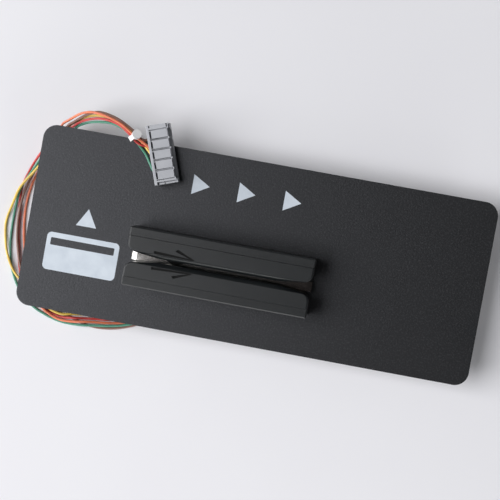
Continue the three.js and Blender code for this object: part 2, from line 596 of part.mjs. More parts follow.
// A thin ribbon from the head's back over the spring to the decoder board.
function headFlexCable() {
  const half = 0.1;
  const middle = [[HEAD.x + 2.6, 6], [HEAD.x + 4.4, 6], [HEAD.x + 6.6, 9.1], [2, 9.1]];
  const near = middle.map(([x, y]) => [x, y - half]);
  const far = middle.map(([x, y]) => [x, y + half]).reverse();
  const shape = new THREE.Shape([...near, ...far].map(([x, y]) => new THREE.Vector2(x, y)));
  const ribbon = new THREE.ExtrudeGeometry(shape, { depth: 2, bevelEnabled: false });
  place(reader, 'head_flex_cable', ribbon.translate(0, 0, 19), FINISH.polyimide);
}

// ---- Decoder board ------------------------------------------------------------------------

function decoderBoard() {
  const { x0, x1, y0, y1, z0, z1 } = BOARD;
  place(reader, 'decoder_board', block([x0, x1], [y0, y1], [z0, z1]), FINISH.board);
  const seat = y1 + GAP;
  const chip = block([9, 16], [seat, seat + 1.4], [13.5, 20.5]);
  place(reader, 'decoder_chip', chip, FINISH.chip);
  const capacitor = block([22, 25.5], [seat, seat + 1.9], [15.5, 18.3]);
  place(reader, 'filter_capacitor', capacitor, FINISH.tantalum);
  const half = (HEADER.pitch * 5) / 2;
  const header = block(
    [HEADER.x - half, HEADER.x + half],
    [HEADER.y0, HEADER.y1],
    [HEADER.z0, HEADER.z1],
  );
  place(reader, 'wire_header', header, FINISH.headerPlastic);
  for (const [colour, points] of Object.entries(TAIL_ROUTES)) {
    const tail = wireTube(points, WIRE_RADIUS, 10);
    place(reader, `wire_tail_${colour}`, tail, WIRE_FINISH[colour]);
  }
}

// ---- Harness ------------------------------------------------------------------------------

function harnessWires() {
  for (const [colour, points] of Object.entries(WIRE_ROUTES)) {
    const wire = wireTube(points, WIRE_RADIUS, WIRE_STEPS);
    place(group, `wire_${colour}`, wire, WIRE_FINISH[colour]);
  }
}

function cableTie() {
  const { inner, outer, width, head, depth } = TIE;
  const ring = [
    [inner, -width / 2], [outer, -width / 2], [outer, width / 2], [inner, width / 2],
    [inner, -width / 2],
  ];
  const bore = bar(inner, [-head, head], [0, 0], 'z', 28);
  const reach = [inner + 0.1, inner + 0.1 + depth];
  const knob = bar(head / 2, reach, [0, 0], 'x', 24);
  const tie = cut(join(turned(ring, [0, 0], 28), knob), bore);
  const mesh = place(group, 'cable_tie', tie, FINISH.nylon);
  const across = new THREE.Vector3(0, 0, 1).cross(TIE_HEADING).negate();
  across.applyAxisAngle(TIE_HEADING, -THREE.MathUtils.degToRad(TIE_HEAD_LIFT));
  const up = new THREE.Vector3().crossVectors(TIE_HEADING, across);
  mesh.quaternion.setFromRotationMatrix(new THREE.Matrix4().makeBasis(across, up, TIE_HEADING));
  mesh.position.set(TIE.x, TIE.y, TIE.z);
}

const plugWays = () =>
  Array.from({ length: PLUG.ways }, (_, i) => ((PLUG.ways - 1) / 2 - i) * PLUG_PITCH);

function connectorHousing() {
  const [w, l] = [PLUG.width / 2, PLUG.length / 2];
  const body = block([-w, w], [-l, l], [0, PLUG.height]);
  const inside = l - PLUG_RAIL.endWall;
  const underRail = block(
    [-w - 1, PLUG_RAIL.underTo],
    [-inside, inside],
    [-1, PLUG_RAIL.underHeight],
  );
  const { x0, halfWidth, z0, z1, wireZ } = PLUG_CAVITY;
  const padLeft = PLUG_RAIL.width - w;
  const cuts = plugWays().flatMap((y) => [
    block([x0, w + 1], [y - halfWidth, y + halfWidth], [z0, z1]),
    bar(WIRE_RADIUS + 0.2, [PLUG_RAIL.underTo - 1, x0 + 1], [y, wireZ], 'x', 12),
    block([padLeft, padLeft + 0.9], [y - 1.8, y + 1.6], [5.6, PLUG.height + 1]),
    block([padLeft, w - 1.3], [y + 2.0, y + 2.45], [PLUG.height - 1.3, PLUG.height + 1]),
    block([w - 1.3, w + 1], [y - 2, y + 2.1], [PLUG.height - 3, PLUG.height + 1]),
  ]);
  const lowerEdge = block([padLeft, w + 1], [-l - 1, -l + 1.3], [PLUG.height - 0.8, PLUG.height + 1]);
  place(plug, 'connector_housing', cut(body, underRail, lowerEdge, ...cuts), FINISH.greyPlastic);
}

function connectorContacts() {
  const { x0, halfWidth, z0, z1 } = PLUG_CAVITY;
  const side = halfWidth - GAP;
  plugWays().forEach((y, i) => {
    const box = block(
      [x0 + GAP, PLUG.width / 2 - 0.6],
      [y - side, y + side],
      [z0 + GAP, z1 - GAP],
    );
    const pinWay = block([2, PLUG.width], [y - 0.8, y + 0.8], [z0 + 0.8, z1 - 0.8]);
    place(plug, `connector_contact_${i + 1}`, cut(box, pinWay), FINISH.tin);
  });
}

// ---- Assembly -----------------------------------------------------------------------------

frontPanel();
panelStuds();
panelScrews();
cableGrommet();
readerBase();
headSideRail();
guideSideRail();
sideCover('cover_head_side', 1);
sideCover('cover_guide_side', -1);
wearStrip();
threadedInserts();
baseScrews();
magneticHead();
headCradle();
headLeafSpring();
headFlexCable();
decoderBoard();
harnessWires();
cableTie();
connectorHousing();
connectorContacts();

export default group;
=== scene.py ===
"""Card swipe reader on a flat black front panel, with its five-wire harness.

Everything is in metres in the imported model's frame: X runs along the panel in the swipe
direction, Y to its top edge and Z out of its front. The studs' tips stand on the floor.
"""

import json
import math

import bmesh
import bpy
from mathutils import Matrix, Vector


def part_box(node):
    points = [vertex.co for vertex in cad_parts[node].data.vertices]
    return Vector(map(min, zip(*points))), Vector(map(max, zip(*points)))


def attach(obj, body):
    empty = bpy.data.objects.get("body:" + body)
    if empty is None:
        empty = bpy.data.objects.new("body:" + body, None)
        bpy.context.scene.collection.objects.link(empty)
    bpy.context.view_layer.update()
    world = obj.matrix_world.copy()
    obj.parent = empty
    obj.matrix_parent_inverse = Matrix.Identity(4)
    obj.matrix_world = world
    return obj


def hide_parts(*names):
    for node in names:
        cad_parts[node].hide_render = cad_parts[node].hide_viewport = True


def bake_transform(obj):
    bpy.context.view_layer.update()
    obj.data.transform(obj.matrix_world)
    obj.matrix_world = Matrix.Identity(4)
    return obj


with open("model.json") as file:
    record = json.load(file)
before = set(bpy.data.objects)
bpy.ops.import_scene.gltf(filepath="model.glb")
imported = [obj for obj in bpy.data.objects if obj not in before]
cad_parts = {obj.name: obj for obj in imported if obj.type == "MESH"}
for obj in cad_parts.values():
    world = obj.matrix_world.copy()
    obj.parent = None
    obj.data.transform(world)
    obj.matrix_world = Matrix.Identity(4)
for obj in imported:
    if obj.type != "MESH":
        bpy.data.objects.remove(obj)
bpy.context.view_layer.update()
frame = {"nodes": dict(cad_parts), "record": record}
NODES = frame["nodes"]
PANEL_BODY, CARRIER_BODY, HEAD_BODY = "panel_assembly", "head_carrier", "read_head"

MM = 0.001
PANEL_TOP = 21.5 * MM
READER = Vector((-14.5, -10.6, 21.5)) * MM
READER_TOP = 46.5 * MM
ARROW_DEPTH = 0.7 * MM
# The sunk arrows lie within these distances of the reader's middle, along it and across it.
ARROW_SPAN = (-33.0 * MM, -11.5 * MM)
ARROW_BAND = (2.9 * MM, 7.5 * MM)
PLUG = Vector((-53.4, 40.8, 21.8)) * MM
PLUG_TURN = math.radians(19.5)
WELD = 0.002 * MM  # vertices closer than this are one
SHARP = math.radians(28)  # edges that turn more than this stay sharp
SCENE = bpy.context.scene


# ---- Camera, floor and light --------------------------------------------------------------

CAMERA_SPOT = Vector((41.68, 33.39, 770.54)) * MM
CAMERA_AHEAD = Vector((-0.05896, -0.04222, -0.99737))
CAMERA_UP = Vector((-0.18002, 0.98318, -0.03098))
FOCAL_LENGTH = 108.5  # millimetres
SENSOR_WIDTH = 36.0


def make_camera():
    data = bpy.data.cameras.new("camera")
    data.sensor_width = SENSOR_WIDTH
    data.lens = FOCAL_LENGTH
    data.clip_start, data.clip_end = 0.01, 20.0
    camera = bpy.data.objects.new("camera", data)
    SCENE.collection.objects.link(camera)
    back = -CAMERA_AHEAD.normalized()
    right = CAMERA_UP.cross(back).normalized()
    up = back.cross(right)
    turn = Matrix((right, up, back)).transposed().to_4x4()
    camera.matrix_world = Matrix.Translation(CAMERA_SPOT) @ turn
    SCENE.camera = camera


make_camera()


# ---- Materials ----------------------------------------------------------------------------


class Value:
    """A shader socket that takes part in arithmetic; each step adds a Math node."""

    def __init__(self, finish, socket):
        self.finish = finish
        self.socket = socket

    def _math(self, operation, first, second=0.0):
        return self.finish.node("ShaderNodeMath", {"operation": operation}, {0: first, 1: second})

    def __add__(self, other):
        return self._math("ADD", self, other)

    def __sub__(self, other):
        return self._math("SUBTRACT", self, other)

    def __rsub__(self, other):
        return self._math("SUBTRACT", other, self)

    def __mul__(self, other):
        return self._math("MULTIPLY", self, other)

    def __lt__(self, other):
        return self._math("LESS_THAN", self, other)

    def __abs__(self):
        return self._math("ABSOLUTE", self)

    __radd__ = __add__
    __rmul__ = __mul__


class Finish:
    """One procedural material, built round its Principled shader."""

    def __init__(self, name, **surface):
        self.material = bpy.data.materials.new(name)
        self.material.use_nodes = True
        self.tree = self.material.node_tree
        self.shader = self.tree.nodes["Principled BSDF"]
        for socket, value in surface.items():
            self.shader.inputs[socket.replace("_", " ").title()].default_value = value
        self.place = self.node("ShaderNodeTexCoord", out="Object")

    def node(self, kind, settings=None, inputs=None, out=0):
        node = self.tree.nodes.new(kind)
        for key, value in (settings or {}).items():
            if key == "stops":
                for stop, (position, colour) in zip(node.color_ramp.elements, value):
                    stop.position, stop.color = position, colour
            else:
                setattr(node, key, value)
        for key, value in (inputs or {}).items():
            self.feed(node.inputs[key], value)
        return Value(self, node.outputs[out])

    def feed(self, socket, value):
        if isinstance(value, Value):
            self.tree.links.new(value.socket, socket)
        else:
            socket.default_value = value

    def set(self, name, value):
        self.feed(self.shader.inputs[name], value)

    def noise(self, size, detail=2.0, stretch=(1, 1, 1), roughness=0.5):
        """Cloudy noise from 0 to 1 whose blobs are about size metres across."""
        place = self.place
        if stretch != (1, 1, 1):
            place = self.node("ShaderNodeMapping", None, {"Vector": place, "Scale": stretch})
        inputs = {"Vector": place, "Scale": 1 / size, "Detail": detail, "Roughness": roughness}
        return self.node("ShaderNodeTexNoise", None, inputs)

    def contrast(self, value, low, high):
        """Stretches low..high of a value to 0..1."""
        inputs = {"Value": value, "From Min": low, "From Max": high}
        return self.node("ShaderNodeMapRange", None, inputs)

    def within(self, value, limits):
        """1 where a value lies between two limits, 0 elsewhere."""
        low, high = limits
        return abs(value - (low + high) / 2) < (high - low) / 2

    def colours(self, mask, first, second):
        settings = {"data_type": "RGBA"}
        second = second if isinstance(second, Value) else (*second, 1)
        first = first if isinstance(first, Value) else (*first, 1)
        inputs = {0: mask, 6: first, 7: second}
        return self.node("ShaderNodeMix", settings, inputs, out=2)

    def bump(self, height, depth, strength=1.0):
        inputs = {"Height": height, "Distance": depth, "Strength": strength}
        self.set("Normal", self.node("ShaderNodeBump", None, inputs))

    def axis(self, index):
        return self.node("ShaderNodeSeparateXYZ", None, {0: self.place}, out=index)


def powder_coat():
    """Fine leathery powder coat, with paler specks on its grain."""
    coat = Finish("powder_coat", specular_tint=(0.92, 0.94, 1.0, 1.0))
    grain = coat.noise(0.9 * MM, 3.0)
    cloud = coat.noise(14 * MM, 2.0)
    specks = coat.contrast(coat.noise(0.8 * MM, 1.0), 0.5, 0.7)
    coat.set("Base Color", coat.colours(specks, (0.002, 0.002, 0.002), (0.014, 0.014, 0.0145)))
    coat.set("Roughness", 0.34 + grain * 0.12 + cloud * 0.05)
    coat.bump(grain, 0.1 * MM, 0.6)
    return coat.material


def moulded(name, dark, light, roughness, grain=0.3 * MM):
    """Moulded plastic with an eroded grain and faint flow clouds."""
    plastic = Finish(name)
    fine = plastic.noise(grain, 3.0)
    cloud = plastic.contrast(plastic.noise(9 * MM, 3.0), 0.3, 0.7)
    plastic.set("Base Color", plastic.colours(cloud, dark, light))
    plastic.set("Roughness", fine * 0.12 + cloud * 0.05 + (roughness - 0.08))
    plastic.bump(fine, 0.02 * MM, 0.5)
    return plastic.material


def reader_plastic():
    """Black moulding: slot lips rubbed smoother by cards; the sunk arrows are left matt and
    painted near black as the shade in their grooves.
    """
    plastic = Finish("black_plastic")
    fine = plastic.noise(0.3 * MM, 3.0)
    cloud = plastic.contrast(plastic.noise(9 * MM, 3.0), 0.3, 0.7)
    from_slot = abs(plastic.axis(1) - READER.y)
    rubbed = 1 - plastic.contrast(from_slot, 1.0 * MM, 3.6 * MM)
    scuffs = plastic.contrast(plastic.noise(0.8 * MM, 4.0, (0.05, 1, 1)), 0.45, 0.75)
    along = plastic.within(plastic.axis(0), [READER.x + end for end in ARROW_SPAN])
    across = plastic.within(from_slot, ARROW_BAND)
    below_top = plastic.within(plastic.axis(2), (READER_TOP - 1.1 * MM, READER_TOP - 0.1 * MM))
    # Painted shade: the mask of the arrows' grooves, where the colour is set near black to stand
    # for the shade in them.
    painted_shade_grooves = along * across * below_top
    shown = plastic.colours(cloud, (0.0065, 0.008, 0.0087), (0.009, 0.0108, 0.0115))
    # The near-black colour in the grooves is painted shade.
    plastic.set("Base Color", plastic.colours(painted_shade_grooves, shown, (0.002, 0.002, 0.002)))
    plastic.set("Roughness", fine * 0.12 + 0.31 - rubbed * scuffs * 0.12 + painted_shade_grooves * 0.45)
    plastic.set("Specular IOR Level", 0.36)
    plastic.bump(fine, 0.02 * MM, 0.5)
    return plastic.material


def strip_steel():
    """Polished strip, with painted shade that darkens it to brown from the reader's middle
    towards the far end, where the slot is in shadow.
    """
    steel = Finish("strip_steel", metallic=1.0)
    lines = steel.noise(0.25 * MM, 4.0, (0.04, 1, 1))
    # Painted shade: 0 at the reader's middle, rising to 1 at 40 mm along, where the colour turns
    # dark brown and the strip gets a little rougher.
    painted_slot_shade = steel.contrast(steel.axis(0) + lines * (4 * MM), READER.x, READER.x + 40 * MM)
    steel.set("Base Color", steel.colours(painted_slot_shade, (0.46, 0.44, 0.42), (0.14, 0.12, 0.11)))
    steel.set("Roughness", lines * 0.06 + painted_slot_shade * 0.1 + 0.084)
    return steel.material


def metal(name, colour, roughness, stretch=(1, 1, 1), streak=0.25 * MM, depth=0.006 * MM):
    """Bare metal, brushed along the axis with the smallest stretch."""
    bare = Finish(name, metallic=1.0)
    lines = bare.noise(streak, 4.0, stretch)
    stain = bare.contrast(bare.noise(3 * MM, 3.0), 0.35, 0.75)
    shade = tuple(0.8 * c for c in colour)
    bare.set("Base Color", bare.colours(stain, colour, shade))
    bare.set("Roughness", lines * 0.5 * roughness + stain * 0.06 + 0.7 * roughness)
    if depth:
        bare.bump(lines, depth, 0.4)
    return bare.material


def insulation(name, colour):
    """Soft vinyl wire covering, with a little dirt and handling gloss."""
    vinyl = Finish(name)
    cloud = vinyl.contrast(vinyl.noise(5 * MM, 3.0), 0.35, 0.7)
    shade = tuple(0.78 * c for c in colour)
    vinyl.set("Base Color", vinyl.colours(cloud, colour, shade))
    vinyl.set("Roughness", vinyl.noise(0.5 * MM, 2.0) * 0.15 + 0.32)
    vinyl.bump(vinyl.noise(0.6 * MM, 2.0), 0.02 * MM, 0.3)
    return vinyl.material


def printed_ink():
    """Screen-printed pale ink with tiny pinholes and an uneven film."""
    ink = Finish("pale_ink")
    film = ink.contrast(ink.noise(6 * MM, 3.0), 0.3, 0.7)
    ink.set("Base Color", ink.colours(film, (0.60, 0.66, 0.72), (0.52, 0.58, 0.645)))
    ink.set("Roughness", ink.noise(0.4 * MM) * 0.2 + 0.42)
    ink.bump(ink.noise(0.5 * MM, 3.0), 0.03 * MM, 0.4)
    return ink.material


def circuit_board():
    """Green solder mask over faint tracks that run along the board."""
    board = Finish("circuit_board", roughness=0.35)
    settings = {"wave_type": "BANDS", "bands_direction": "Z", "wave_profile": "SAW"}
    inputs = {"Vector": board.place, "Scale": 160.0, "Distortion": 3.0, "Detail": 1.0}
    tracks = board.contrast(board.node("ShaderNodeTexWave", settings, inputs), 0.45, 0.55)
    board.set("Base Color", board.colours(tracks, (0.012, 0.09, 0.04), (0.02, 0.16, 0.07)))
    board.bump(tracks, 0.03 * MM, 0.4)
    return board.material


MATERIALS = {
    "powder_coat": powder_coat(),
    "black_plastic": reader_plastic(),
    "strip_steel": strip_steel(),
    "zinc_plate": metal("zinc_plate", (0.52, 0.54, 0.56), 0.38),
    "brass": metal("brass", (0.62, 0.42, 0.16), 0.35),
    "head_can": metal("head_can", (0.42, 0.41, 0.40), 0.16, (0.05, 1, 1), depth=0),
    "head_core": metal("head_core", (0.2, 0.17, 0.14), 0.35),
    "spring_steel": metal("spring_steel", (0.42, 0.43, 0.44), 0.3, (0.05, 1, 1)),
    "tin": metal("tin", (0.6, 0.6, 0.57), 0.32),
    "circuit_board": circuit_board(),
    "chip_resin": moulded("chip_resin", (0.01, 0.01, 0.011), (0.014, 0.014, 0.015), 0.5),
    "capacitor_resin": moulded("capacitor_resin", (0.5, 0.3, 0.05), (0.56, 0.36, 0.08), 0.4),
    "polyimide": moulded("polyimide", (0.36, 0.14, 0.02), (0.42, 0.18, 0.03), 0.3),
    "header_plastic": moulded("header_plastic", (0.68, 0.66, 0.55), (0.74, 0.72, 0.62), 0.4),
    "rubber": moulded("rubber", (0.012, 0.012, 0.012), (0.018, 0.018, 0.018), 0.75),
    "nylon": moulded("nylon", (0.74, 0.74, 0.73), (0.82, 0.82, 0.81), 0.35),
    "grey_plastic": moulded(
        "grey_plastic", (0.37, 0.38, 0.405), (0.42, 0.43, 0.455), 0.45, 0.25 * MM
    ),
    "pale_ink": printed_ink(),
}

WIRE_COLOURS = {
    "brown": (0.22, 0.11, 0.08),
    "red": (0.52, 0.05, 0.045),
    "orange": (0.72, 0.19, 0.09),
    "yellow": (0.72, 0.5, 0.09),
    "green": (0.06, 0.24, 0.16),
}
for colour_name, colour in WIRE_COLOURS.items():
    slot_name = "insulation_" + colour_name
    MATERIALS[slot_name] = insulation(slot_name, colour)


# ---- Cords --------------------------------------------------------------------------------

# Routes in millimetres, from the plug to the grommet behind the panel.
WIRE_ROUTES = {
    "brown": [
        [-58.2, 49.9, 23.6], [-59.9, 49, 23.6], [-61.5, 47.4, 24.1], [-63.4, 46.2, 25.2],
        [-65.7, 46.6, 26.3], [-67.5, 48.2, 26.8], [-76.3, 53.2, 26.6], [-81.9, 55.1, 26],
        [-88, 55.9, 25], [-91.7, 55.1, 24], [-96.2, 52.8, 22], [-101, 49.3, 19.1],
        [-104.6, 46.8, 15.9], [-109, 40.1, 11.1], [-115.3, 31, 6.9], [-120, 21, 3.4],
        [-123.6, 10, 2.4], [-124.6, 0, 2.4], [-124, -10, 2.4], [-122, -20, 2.4],
        [-118.6, -30.1, 1.9], [-112.8, -38.3, 0.8], [-104, -45, 0.8], [-95, -48.7, 0.8],
        [-88, -50.4, 0.8], [-82, -52.1, 0.8], [-76, -52.8, 0.8], [-68.4, -52.2, 0.8],
        [-60, -49.9, 0.8], [-50, -45.2, 0.8], [-38, -37, 0.8], [-24, -26.4, 0.8],
        [-11, -17.2, 0.8], [1.6, -10, 1.3], [4.4, -8, 3.5], [5.8, -6.8, 7.5], [6.3, -6.4, 12],
        [6.3, -6.3, 17.6],
    ],
    "red": [
        [-56.5, 45.1, 23.6], [-58.5, 44.4, 23.5], [-61.1, 43.9, 23.9], [-64.5, 43.4, 24.9],
        [-67.5, 44.5, 26], [-69.5, 46.3, 26.9], [-75.9, 50.7, 26.8], [-79.9, 52.2, 26],
        [-85.3, 52.9, 25], [-89.5, 52.6, 23.8], [-94.5, 51.2, 21.5], [-98.9, 49, 19],
        [-102.6, 46.1, 16], [-107.4, 41.2, 13.7], [-115.6, 33.3, 9.6], [-121.4, 23.4, 5],
        [-125.3, 12.5, 1.6], [-125.6, 5, 0.8], [-124.6, -2, 0.8], [-124, -10, 0.8],
        [-122, -20, 0.8], [-119.3, -30.9, 0.8], [-114.2, -39.9, 0.8], [-105.5, -46.9, 0.8],
        [-95, -50.7, 0.9], [-88, -50.1, 2.7], [-82, -49.4, 1.2], [-76, -48.7, 0.8],
        [-68.4, -47.7, 0.8], [-60, -45.8, 0.8], [-50, -41.1, 0.8], [-38, -32.7, 0.8],
        [-24, -22.1, 0.8], [-11, -12.9, 0.8], [-0.6, -7.8, 1.2], [2.2, -6.2, 3.4],
        [3.6, -5.2, 7.5], [4.2, -4.8, 12], [4.2, -4.8, 17.6],
    ],
    "orange": [
        [-54.8, 40.3, 23.6], [-56.8, 40, 23.9], [-58.8, 41.2, 24.6], [-61, 43, 25.8],
        [-64.2, 44.9, 27.3], [-68.5, 47.1, 28], [-75.8, 51.7, 28.4], [-81.6, 53.7, 28],
        [-87.7, 55, 27], [-92.2, 55.2, 25.8], [-96.2, 54.3, 24], [-99.2, 52.9, 22.3],
        [-103.7, 49.8, 18.9], [-107.7, 46.8, 15.4], [-110.6, 38.1, 7.5], [-115.2, 29, 3.4],
        [-118.4, 22, 1.6], [-121.2, 12, 0.8], [-122, 2, 0.8], [-121.2, -8, 0.8],
        [-119, -19, 0.8], [-115.6, -28.4, 1.3], [-113, -39.1, 2.9], [-103.5, -48.3, 2.4],
        [-95, -52, 2.2], [-88, -52, 2.4], [-82, -51, 2.4], [-76, -50.3, 1.5],
        [-68.4, -49.4, 0.8], [-60, -47.6, 0.8], [-50, -43.1, 0.8], [-38, -34.8, 0.8],
        [-24, -24.2, 0.8], [-11, -15, 1], [2, -8.1, 1.4], [5, -6.1, 3.2], [6.3, -5.2, 7],
        [6.8, -4.7, 12], [6.8, -4.8, 17.6],
    ],
    "yellow": [
        [-53.1, 35.5, 23.6], [-55, 35.2, 24], [-57.2, 36.9, 24.2], [-59.6, 39.9, 23.9],
        [-63, 43, 22.8], [-65.6, 45.4, 24], [-68, 47.6, 25.3], [-77.3, 53.1, 24.8],
        [-82.4, 54, 24.2], [-87.2, 54.3, 23.2], [-91.9, 53.7, 22], [-96.6, 51.9, 19.8],
        [-100.8, 49.4, 16.9], [-104.3, 46.7, 13.8], [-107.4, 38.9, 10], [-114, 29.4, 8.4],
        [-119.8, 20.5, 6.6], [-125.7, 11.3, 5.4], [-128.8, 2, 2.2], [-130.8, -7, 0.8],
        [-130, -14, 0.9], [-127, -23.5, 2.4], [-121.5, -32.5, 2.4], [-112.4, -38.9, 4.4],
        [-104, -45.8, 2.6], [-95, -49.1, 2.5], [-88, -48.2, 1.7], [-82, -47.5, 0.8],
        [-76, -47, 0.8], [-68.4, -46, 0.8], [-60, -44.1, 0.8], [-50, -39.1, 0.8],
        [-38, -30.6, 0.8], [-24, -20, 0.8], [-11, -10.6, 0.8], [-3.5, -6.2, 0.8],
        [1.4, -4.1, 1.6], [4.2, -3.5, 4], [5.3, -3.7, 7.8], [5.5, -3.8, 12], [5.5, -3.8, 17.6],
    ],
    "green": [
        [-51.4, 30.7, 23.6], [-53.8, 30.4, 23], [-56.9, 31.8, 22.4], [-59.4, 35.1, 22.2],
        [-62.4, 39.4, 22.2], [-66.9, 43.9, 23.6], [-69.1, 46.7, 25.4], [-76.8, 50.4, 25.2],
        [-81.8, 51.5, 24.3], [-87.6, 51.2, 22.8], [-92.9, 50.2, 20.8], [-97.5, 48.4, 18.2],
        [-100.6, 46.3, 15.8], [-106.1, 38.5, 12.7], [-114.7, 31.6, 9], [-120.6, 21.6, 5.3],
        [-125.8, 10.5, 3.2], [-127.2, -1, 1], [-127.2, -12, 0.8], [-126.2, -21, 0.8],
        [-123.5, -31, 0.8], [-118, -40.5, 0.8], [-109.5, -48, 0.8], [-101.5, -51.4, 0.8],
        [-94.5, -53.1, 0.8], [-88, -53.4, 0.9], [-82, -52.9, 2.3], [-76, -51.9, 2.2],
        [-68.4, -50.8, 2.1], [-60, -48.7, 2.1], [-50, -44.2, 2.1], [-38, -35.9, 2.2],
        [-24, -25.3, 2.2], [-11, -16.1, 2.2], [-0.5, -9.9, 2.8], [2.4, -7.9, 4.8],
        [4, -6.8, 8.4], [4.6, -6.4, 12.5], [4.6, -6.4, 17.6],
    ],
}
WIRE_DIAMETER = 1.3 * MM


def smooth_route(points, steps=6):
    """Points on the centripetal Catmull-Rom curve through the given ones."""
    spots = [Vector(point) * MM for point in points]
    spots = [2 * spots[0] - spots[1], *spots, 2 * spots[-1] - spots[-2]]
    route = []
    for a, b, c, d in zip(spots, spots[1:], spots[2:], spots[3:]):
        t1 = (b - a).length ** 0.5
        t2 = t1 + (c - b).length ** 0.5
        t3 = t2 + (d - c).length ** 0.5
        for step in range(steps):
            t = t1 + (t2 - t1) * step / steps
            ab = a.lerp(b, t / t1)
            bc = b.lerp(c, (t - t1) / (t2 - t1))
            cd = c.lerp(d, (t - t2) / (t3 - t2))
            abc = ab.lerp(bc, t / t2)
            bcd = bc.lerp(cd, (t - t1) / (t3 - t1))
            route.append(abc.lerp(bcd, (t - t1) / (t2 - t1)))
    route.append(spots[-2])
    return route


def add_object(name, data, slot_name, body=PANEL_BODY):
    piece = bpy.data.objects.new(name, data)
    SCENE.collection.objects.link(piece)
    data.materials.clear()
    data.materials.append(MATERIALS[slot_name])
    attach(piece, body)
    return piece


def make_wire(colour_name):
    route = smooth_route(WIRE_ROUTES[colour_name])[::-1]
    data = bpy.data.curves.new(f"wire_{colour_name}_cord", "CURVE")
    data.dimensions = "3D"
    data.bevel_depth = WIRE_DIAMETER / 2
    data.bevel_resolution = 3
    data.use_fill_caps = True
    spline = data.splines.new("POLY")
    spline.points.add(len(route) - 1)
    for point, spot in zip(spline.points, route):
        point.co = (*spot, 1)
    spline.use_smooth = True
    piece = add_object(data.name, data, f"insulation_{colour_name}")
    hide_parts(f"wire_{colour_name}")
    return piece, route[0]


CORDS = {colour_name: make_wire(colour_name) for colour_name in WIRE_ROUTES}


# ---- Mesh helpers -------------------------------------------------------------------------


def new_box(low, high, name="cutter"):
    """A plain box between two corners, used only to cut."""
    mesh = bpy.data.meshes.new(name)
    form = bmesh.new()
    bmesh.ops.create_cube(form, size=1)
    size = Vector(high) - Vector(low)
    for vertex in form.verts:
        vertex.co = Vector(low) + Vector(s * (c + 0.5) for s, c in zip(size, vertex.co))
    form.to_mesh(mesh)
    form.free()
    return mesh


def new_prism(outline, low, high, name="cutter"):
    """A prism on a plan outline, from z low to z high."""
    mesh = bpy.data.meshes.new(name)
    form = bmesh.new()
    base = form.faces.new([form.verts.new((x, y, low)) for x, y in outline])
    raised = bmesh.ops.extrude_face_region(form, geom=[base])["geom"]
    for part in raised:
        if isinstance(part, bmesh.types.BMVert):
            part.co.z = high
    bmesh.ops.recalc_face_normals(form, faces=form.faces)
    form.to_mesh(mesh)
    form.free()
    return mesh


def joined(meshes, matrix=None):
    """One mesh from several, moved by a matrix."""
    form = bmesh.new()
    for mesh in meshes:
        form.from_mesh(mesh)
        bpy.data.meshes.remove(mesh)
    if matrix:
        form.transform(matrix)
    mesh = bpy.data.meshes.new("cutter")
    form.to_mesh(mesh)
    form.free()
    return mesh


def settled(piece):
    """Turns a piece's modifiers into a plain mesh."""
    graph = bpy.context.evaluated_depsgraph_get()
    mesh = bpy.data.meshes.new_from_object(piece.evaluated_get(graph))
    mesh.name = piece.name
    piece.modifiers.clear()
    old = piece.data
    piece.data = mesh
    bpy.data.meshes.remove(old)


def cut_away(piece, cutters):
    tool = bpy.data.objects.new("cutter", joined(cutters))
    SCENE.collection.objects.link(tool)
    boolean = piece.modifiers.new("cut", "BOOLEAN")
    boolean.operation, boolean.solver = "DIFFERENCE", "EXACT"
    boolean.use_self = True
    boolean.object = tool
    settled(piece)
    bpy.data.objects.remove(tool)


def round_edges(mesh, radius, shortest, segments, chosen, clamp):
    """Rounds the sharp edges that are at least as long as shortest."""
    form = bmesh.new()
    form.from_mesh(mesh)
    bmesh.ops.remove_doubles(form, verts=form.verts, dist=WELD)
    edges = [
        edge
        for edge in form.edges
        if edge.is_manifold
        and edge.calc_face_angle() > SHARP
        and edge.calc_length() > shortest
        and (chosen is None or chosen(edge))
    ]
    bmesh.ops.bevel(
        form,
        geom=edges,
        offset=radius,
        segments=segments,
        profile=0.5,
        affect="EDGES",
        clamp_overlap=clamp,
    )
    bmesh.ops.triangulate(form, faces=[f for f in form.faces if len(f.verts) > 4])
    form.to_mesh(mesh)
    form.free()


def smooth_by_angle(piece):
    """Smooth shading between sharp edges, with large flat faces kept flat."""
    mesh = piece.data
    mesh.polygons.foreach_set("use_smooth", [True] * len(mesh.polygons))
    form = bmesh.new()
    form.from_mesh(mesh)
    for edge in form.edges:
        edge.smooth = not (edge.is_manifold and edge.calc_face_angle() > SHARP)
    form.to_mesh(mesh)
    form.free()
    weighted = piece.modifiers.new("normals", "WEIGHTED_NORMAL")
    weighted.keep_sharp = True
    weighted.weight = 100
    settled(piece)


def softened(
    node,
    slot_name,
    radius,
    shortest=0.0,
    cutters=(),
    body=PANEL_BODY,
    chosen=None,
    reshape=None,
    clamp=True,
    segments=3,
):
    """A copy of a CAD node, which stands for it.

    It is reshaped, cut, and rounded by radius on the chosen edges that are long enough.
    """
    mesh = NODES[node].data.copy()
    mesh.name = node + "_surface"
    form = bmesh.new()
    form.from_mesh(mesh)
    bmesh.ops.remove_doubles(form, verts=form.verts, dist=WELD)
    for vertex in form.verts:
        if reshape:
            vertex.co = reshape(vertex.co)
    form.to_mesh(mesh)
    form.free()
    piece = add_object(mesh.name, mesh, slot_name, body)
    if cutters:
        cut_away(piece, cutters)
    round_edges(piece.data, radius, shortest, segments, chosen, clamp)
    smooth_by_angle(piece)
    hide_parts(node)
    return piece


# ---- Panel --------------------------------------------------------------------------------


